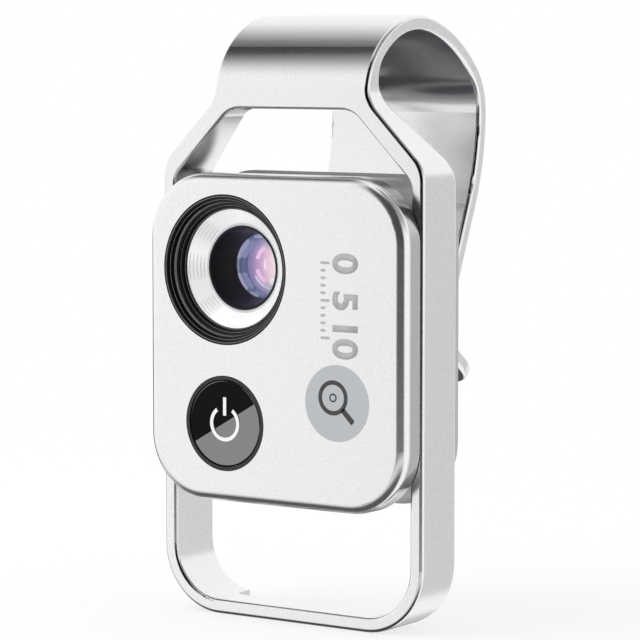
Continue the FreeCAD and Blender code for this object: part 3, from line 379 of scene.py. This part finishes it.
def dress_rear_glass():
    """Glass whose colours are painted reflection: mauve to cream with paler arcs of painted highlight, dark
    at the back, and a painted glow that fades to none there; angle and reach in degrees, inner and outer
    radius in mm.
    """
    glass = Finish("rear_glass_painted_reflections", (0.5, 0.3, 0.5), 0.08, IOR=1.6)
    radius, around, depth = glass.from_axis(lens_axis)
    side = glass.math("MULTIPLY", radius, glass.math("COSINE", around))
    # Painted reflection: mauve on the left turning to cream on the right
    painted_tint = glass.ramp(glass.span(side, -2.6 * MM, 0.9 * MM, 0, 1), [
        (0.0, (0.4, 0.27, 0.48)), (0.35, (0.62, 0.38, 0.56)),
        (0.6, (0.85, 0.58, 0.6)), (1.0, (0.98, 0.85, 0.76))])
    # Painted highlight: paler arcs at given angles and radii, one of them a white crescent
    for angle, reach, inner, outer, colour in (
            (140, 26, 1.7, 2.15, (1.0, 0.66, 0.86)), (218, 24, 1.7, 2.15, (1.0, 0.62, 0.84)),
            (178, 34, 0.75, 1.05, (1.0, 0.76, 0.92)), (84, 20, 1.5, 2.1, (1.0, 0.88, 0.86)),
            (-78, 24, 1.3, 2.0, (1.0, 0.94, 0.86)), (-110, 44, 2.3, 2.5, (1.0, 1.0, 1.0))):
        edge = math.cos(math.radians(reach))
        sector = glass.span(glass.facing(around, angle), edge, edge + (1 - edge) * 0.2, 0, 1)
        inside = glass.span(radius, (inner - 0.05) * MM, (inner + 0.05) * MM, 0, 1)
        outside = glass.span(radius, (outer - 0.05) * MM, (outer + 0.05) * MM, 1, 0)
        painted_arc = glass.math("MULTIPLY", sector, glass.math("MULTIPLY", inside, outside))
        painted_tint = glass.mix(painted_arc, painted_tint, colour)
    # Towards the back the colour turns dark
    behind = glass.span(depth, rear_low.y, rear_high.y, 0, 1)
    painted_tint = glass.mix(behind, painted_tint, (0.1, 0.07, 0.13))
    glass.link(painted_tint, "Base Color")
    glass.link(painted_tint, "Emission Color")
    # Painted glow: the front of the glass gives off light in its own colours, fading to none at the back
    glass.link(glass.span(depth, rear_low.y, rear_high.y, 0.8, 0.0), "Emission Strength")
    dress(glass, "rear_lens")


def dress_button():
    """A smoked mirror with a shallow facet across its upper left."""
    cap = Finish("smoked_mirror_cap", (0.24, 0.24, 0.245), 0.03, metallic=1.0)
    cap.link(cap.span(cap.noise(2 * MM), 0.3, 0.7, 0.02, 0.045), "Roughness")
    across, _, up = cap.split()
    aside = cap.math("SUBTRACT", button_axis.x + FACET_OFFSET[0] * MM, across)
    above = cap.math("SUBTRACT", up, button_axis.z + FACET_OFFSET[1] * MM)
    beyond = cap.math("ADD", cap.math("MULTIPLY", aside, FACET_TOWARD[0]),
                      cap.math("MULTIPLY", above, FACET_TOWARD[1]))
    cap.bump(cap.math("MULTIPLY", cap.math("MAXIMUM", beyond, 0.0), FACET_SLOPE), 1.0, 1.0)
    dress(cap, "button_cap")
    ring = moulded_plastic("ring_black", (0.012, 0.012, 0.013), 0.2, 0.05, 0.03, IOR=1.5)
    dress(ring, "button_ring")
    mark = Finish("bright_mark", (0.95, 0.95, 0.955), 0.14, metallic=1.0)
    mark.bump(mark.noise(0.08 * MM), 0.04, 0.00001)
    dress(mark, "power_symbol")


def dress_insides():
    steel = Finish("plated_steel", (0.62, 0.62, 0.63), 0.28, metallic=1.0)
    steel.bump(steel.noise(0.15 * MM, 3.0), 0.06, GRAIN_DEPTH)
    steel.link(steel.span(steel.noise(1 * MM), 0.3, 0.7, 0.22, 0.36), "Roughness")
    dress(steel, "rear_screws", "board_screws", "charging_socket")
    board = Finish("solder_mask", (0.015, 0.11, 0.05), 0.35, IOR=1.5)
    tracks = board.math("SINE", board.math("MULTIPLY", board.noise(2.2 * MM, 1.0), 60))
    board.bump(tracks, 0.2, 0.00003)
    copper = board.span(tracks, 0.2, 0.5, 0, 1)
    board.link(board.mix(copper, (0.012, 0.09, 0.04), (0.03, 0.16, 0.07)), "Base Color")
    dress(board, "main_board")
    phosphor = Finish("led_phosphor", (0.9, 0.78, 0.3), 0.35)
    phosphor.link(phosphor.mix(phosphor.noise(0.2 * MM), (0.85, 0.7, 0.22), (0.95, 0.85, 0.45)), "Base Color")
    dress(phosphor, "ring_leds")
    dress(moulded_plastic("chip_black", (0.018, 0.018, 0.02), 0.5, 0.05, 0.2),
          "charger_chip", "driver_chip", "socket_tongue", "tact_switch")
    ceramic = Finish("ceramic_tan", (0.55, 0.42, 0.28), 0.4)
    ceramic.link(ceramic.mix(ceramic.noise(0.15 * MM), (0.48, 0.36, 0.24), (0.6, 0.48, 0.33)), "Base Color")
    dress(ceramic, "board_passives")
    foil = Finish("pouch_foil", (0.7, 0.71, 0.73), 0.3, metallic=0.9)
    foil.bump(foil.noise(1.2 * MM, 4.0), 0.25, 0.00015)
    foil.link(foil.mix(foil.noise(0.4 * MM), (0.62, 0.63, 0.65), (0.74, 0.75, 0.77)), "Base Color")
    dress(foil, "battery")


# New pieces

def settle(piece, name, finish):
    """Name a finished piece, bring its place into its mesh and let it ride on the module."""
    bpy.ops.object.select_all(action="DESELECT")
    piece.select_set(True)
    bpy.context.view_layer.objects.active = piece
    bpy.ops.object.transform_apply(location=True, rotation=True, scale=True)
    piece.name = name
    piece.data.name = name
    piece.data.materials.clear()
    piece.data.materials.append(finish.material)
    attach(piece, "module")
    piece.select_set(False)


def join(pieces):
    bpy.ops.object.select_all(action="DESELECT")
    for piece in pieces:
        piece.select_set(True)
    bpy.context.view_layer.objects.active = pieces[0]
    bpy.ops.object.join()
    return bpy.context.active_object


def thicken(piece, depth):
    """Give a flat print a little thickness, half of it on each side of its place."""
    bpy.ops.object.select_all(action="DESELECT")
    piece.select_set(True)
    bpy.context.view_layer.objects.active = piece
    solid = piece.modifiers.new("thickness", "SOLIDIFY")
    solid.thickness = depth
    solid.offset = 0
    bpy.ops.object.modifier_apply(modifier="thickness")


def printed_number(figures, across, up, height):
    """Plain figures, read from the top down, as a mesh on the module's face."""
    bpy.ops.object.text_add()
    text = bpy.context.active_object
    text.data.body = figures
    text.data.align_x = "CENTER"
    text.data.align_y = "CENTER"
    text.data.size = height / FIGURE_SHARE
    text.data.offset = height * FIGURE_WEIGHT
    text.data.resolution_u = 8
    bpy.ops.object.convert(target="MESH")
    turned = Matrix.Rotation(math.radians(90), 4, "X") @ Matrix.Rotation(math.radians(-90), 4, "Z")
    text.data.transform(turned)
    text.data.transform(Matrix.Translation((across, module_face, up)))
    return text


def printed_bar(across, up, width, height, lean=0.0):
    """A flat rounded bar, leaning by an angle about the Y axis."""
    bpy.ops.mesh.primitive_plane_add(size=1, location=(0, 0, 0))
    bar = bpy.context.active_object
    bar.data.transform(Matrix.Diagonal((width, height, 1, 1)))
    bpy.ops.object.mode_set(mode="EDIT")
    bpy.ops.mesh.select_all(action="SELECT")
    bpy.ops.mesh.bevel(offset=min(width, height) * BAR_ROUNDING, segments=4, affect="VERTICES")
    bpy.ops.object.mode_set(mode="OBJECT")
    bar.data.transform(Matrix.Rotation(math.radians(90), 4, "X"))
    bar.data.transform(Matrix.Rotation(lean, 4, "Y"))
    bar.data.transform(Matrix.Translation((across, module_face, up)))
    return bar


def printed_disc(across, up, radius):
    bpy.ops.mesh.primitive_circle_add(vertices=96, radius=radius, fill_type="NGON")
    disc = bpy.context.active_object
    disc.data.transform(Matrix.Rotation(math.radians(90), 4, "X"))
    disc.data.transform(Matrix.Translation((across, module_face, up)))
    return disc


def printed_ring(across, up, radius, width):
    """A flat ring: a disc whose rim is inset and whose middle is deleted."""
    ring = printed_disc(across, up, radius)
    bpy.ops.object.mode_set(mode="EDIT")
    bpy.ops.mesh.select_all(action="SELECT")
    bpy.ops.mesh.inset(thickness=width)
    bpy.ops.mesh.delete(type="FACE")
    bpy.ops.object.mode_set(mode="OBJECT")
    return ring


def print_ink(name, colour):
    ink = Finish(name, colour, 0.5, Specular_IOR_Level=0.3)
    speckle = ink.noise(0.12 * MM, 3.0)
    grains = ink.span(speckle, 0.35, 0.65, 0, 1)
    ink.link(ink.mix(grains, darker(colour, 0.95), colour), "Base Color")
    ink.bump(speckle, 0.05, 0.00001)
    return ink


def print_scale():
    """A plain scale of numbers on the module's face, with ticks beside it."""
    fall = SCALE_BOTTOM - SCALE_TOP
    pieces = []
    for figures, share in (("0", 0.0), ("5", 0.5), ("10", 1.0)):
        up = SCALE_TOP + fall * share
        pieces.append(printed_number(figures, SCALE_MIDDLE * MM, up * MM, FIGURE_HEIGHT * MM))
    for step in range(11):
        length = LONG_TICK if step % 5 == 0 else SHORT_TICK
        up = SCALE_TOP + fall * step / 10
        across = SCALE_TICKS_FROM + length / 2
        pieces.append(printed_bar(across * MM, up * MM, length * MM, TICK_WIDTH * MM))
    scale = join(pieces)
    thicken(scale, SCALE_INK * MM)
    settle(scale, "scale_print", print_ink("scale_ink", (0.47, 0.47, 0.48)))


def print_badge():
    """A grey disc with a plain magnifier on it."""
    disc = printed_disc(BADGE_PLACE[0] * MM, BADGE_PLACE[1] * MM, BADGE_RADIUS * MM)
    thicken(disc, BADGE_INK * MM)
    settle(disc, "badge_disc", print_ink("badge_grey", (0.5, 0.515, 0.53)))
    across = (BADGE_PLACE[0] + LOUPE_OFFSET[0]) * MM
    up = (BADGE_PLACE[1] + LOUPE_OFFSET[1]) * MM
    lean = math.radians(45)
    reach = HANDLE_REACH * MM
    handle = printed_bar(across + reach * math.sin(lean), up - reach * math.cos(lean),
                         HANDLE_WIDTH * MM, HANDLE_LENGTH * MM, -lean)
    ring = printed_ring(across, up, LOUPE_RADIUS * MM, LOUPE_WIDTH * MM)
    glint = printed_ring(across, up, GLINT_RADIUS * MM, GLINT_WIDTH * MM)
    symbol = join([ring, handle, glint])
    thicken(symbol, LOUPE_INK * MM)
    settle(symbol, "badge_symbol", print_ink("badge_dark", (0.065, 0.065, 0.067)))


# Studio: a pale floor, a white surround, soft lamps and the tent that metal mirrors

def is_seen(tree):
    """1 for rays that meet the surround directly, in a mirror or through glass."""
    path = tree.nodes.new("ShaderNodeLightPath")
    total = path.outputs["Is Camera Ray"]
    for name in ("Is Glossy Ray", "Is Transmission Ray"):
        added = tree.nodes.new("ShaderNodeMath")
        added.operation = "ADD"
        added.use_clamp = True
        tree.links.new(total, added.inputs[0])
        tree.links.new(path.outputs[name], added.inputs[1])
        total = added.outputs[0]
    return total


def light_world():
    world = bpy.data.worlds.new("white_surround")
    world.use_nodes = True
    scene.world = world
    tree = world.node_tree
    lit = tree.nodes["Background"]
    lit.inputs["Color"].default_value = (1, 1, 1, 1)
    lit.inputs["Strength"].default_value = WORLD_LEVEL
    seen = tree.nodes.new("ShaderNodeBackground")
    seen.inputs["Color"].default_value = (1, 1, 1, 1)
    seen.inputs["Strength"].default_value = 1.0
    mixed = tree.nodes.new("ShaderNodeMixShader")
    tree.links.new(is_seen(tree), mixed.inputs[0])
    tree.links.new(lit.outputs[0], mixed.inputs[1])
    tree.links.new(seen.outputs[0], mixed.inputs[2])
    tree.links.new(mixed.outputs[0], tree.nodes["World Output"].inputs["Surface"])


def lay_floor():
    """A pale floor that keeps the shadow near the object and is white farther away."""
    bpy.ops.mesh.primitive_plane_add(size=FLOOR_SIZE)
    floor = bpy.context.active_object
    floor.name = "floor"
    floor.data.transform(Matrix.Translation((0, 0, -FLOOR_DROP)))
    material = bpy.data.materials.new("pale_floor")
    material.use_nodes = True
    tree = material.node_tree
    matt = tree.nodes["Principled BSDF"]
    matt.inputs["Base Color"].default_value = (0.95, 0.95, 0.95, 1)
    matt.inputs["Roughness"].default_value = 0.9
    matt.inputs["Specular IOR Level"].default_value = 0.0
    glow = tree.nodes.new("ShaderNodeEmission")
    share = tree.nodes.new("ShaderNodeMath")
    share.operation = "MULTIPLY"
    place = tree.nodes.new("ShaderNodeTexCoord")
    away = tree.nodes.new("ShaderNodeVectorMath")
    away.operation = "LENGTH"
    tree.links.new(place.outputs["Object"], away.inputs[0])
    near = tree.nodes.new("ShaderNodeMapRange")
    for name, number in (("From Min", SHADOW_FROM), ("From Max", SHADOW_TO),
                         ("To Min", SHADOW_SHARE), ("To Max", 1.0)):
        near.inputs[name].default_value = number
    tree.links.new(away.outputs["Value"], near.inputs["Value"])
    tree.links.new(is_seen(tree), share.inputs[0])
    tree.links.new(near.outputs[0], share.inputs[1])
    mixed = tree.nodes.new("ShaderNodeMixShader")
    tree.links.new(share.outputs[0], mixed.inputs[0])
    tree.links.new(matt.outputs[0], mixed.inputs[1])
    tree.links.new(glow.outputs[0], mixed.inputs[2])
    tree.links.new(mixed.outputs[0], tree.nodes["Material Output"].inputs["Surface"])
    floor.data.materials.append(material)
    floor.visible_glossy = False


def hang_lamp(name, place, size, power):
    """A soft square lamp that faces the object and shows in no mirror."""
    data = bpy.data.lights.new(name, "AREA")
    data.shape = "SQUARE"
    data.size = size
    data.energy = power
    lamp = bpy.data.objects.new(name, data)
    scene.collection.objects.link(lamp)
    direction = (Vector((0, 0, MIDDLE_HEIGHT)) - Vector(place)).normalized()
    turn = direction.to_track_quat("-Z", "Y").to_matrix().to_4x4()
    lamp.matrix_world = Matrix.Translation(place) @ turn
    lamp.visible_camera = False
    lamp.visible_glossy = False


def hang_tent():
    """A tent of white cloth with dark gaps, which only mirrors see."""
    bpy.ops.mesh.primitive_uv_sphere_add(segments=48, ring_count=24, radius=TENT_RADIUS)
    tent = bpy.context.active_object
    tent.name = "light_tent"
    cloth = Finish("tent_cloth", (0, 0, 0), 1.0)
    toward = cloth.tree.nodes.new("ShaderNodeVectorMath")
    toward.operation = "NORMALIZE"
    cloth.tree.links.new(cloth.coordinates, toward.inputs[0])
    right, ahead, rise = cloth.split(toward.outputs[0])
    around = cloth.math("DEGREES", cloth.math("ARCTAN2", ahead, right))
    up = cloth.math("DEGREES", cloth.math("ARCSINE", rise))
    light = 1.0
    for middle, reach, soft, low, high, fade, level in TENT_GAPS:
        aside = cloth.math("ABSOLUTE", cloth.math("WRAP", cloth.math("SUBTRACT", around, middle), 180, -180))
        across = cloth.span(aside, reach - soft, reach + soft, 1, 0)
        above = cloth.span(up, low - fade, low + fade, 0, 1)
        below = cloth.span(up, high - fade, high + fade, 1, 0)
        mask = cloth.math("MULTIPLY", across, cloth.math("MULTIPLY", above, below))
        shade = cloth.math("MULTIPLY_ADD", mask, level - 1, 1)
        light = cloth.math("MINIMUM", light, shade)
    glow = cloth.node("Emission", Strength=light)
    cloth.show(glow.outputs[0])
    tent.data.materials.append(cloth.material)
    for ray in ("camera", "diffuse", "transmission", "volume_scatter", "shadow"):
        setattr(tent, "visible_" + ray, False)


def at(azimuth, elevation, distance):
    """A place round the object: azimuth from +X, as seen from above."""
    turn, lift = math.radians(azimuth), math.radians(elevation)
    flat = math.cos(lift) * distance
    return (flat * math.cos(turn), flat * math.sin(turn), MIDDLE_HEIGHT + math.sin(lift) * distance)


def light_studio():
    light_world()
    lay_floor()
    for name, place, size, power in LAMPS:
        hang_lamp(name, at(*place), size, power)
    hang_tent()


dress_clip()
dress_shells()
dress_bezel()
dress_cone()
dress_barrel()
dress_front_glass()
dress_rear_glass()
dress_button()
dress_insides()
print_scale()
print_badge()
light_studio()
place_camera()

scene.view_settings.view_transform = "Standard"
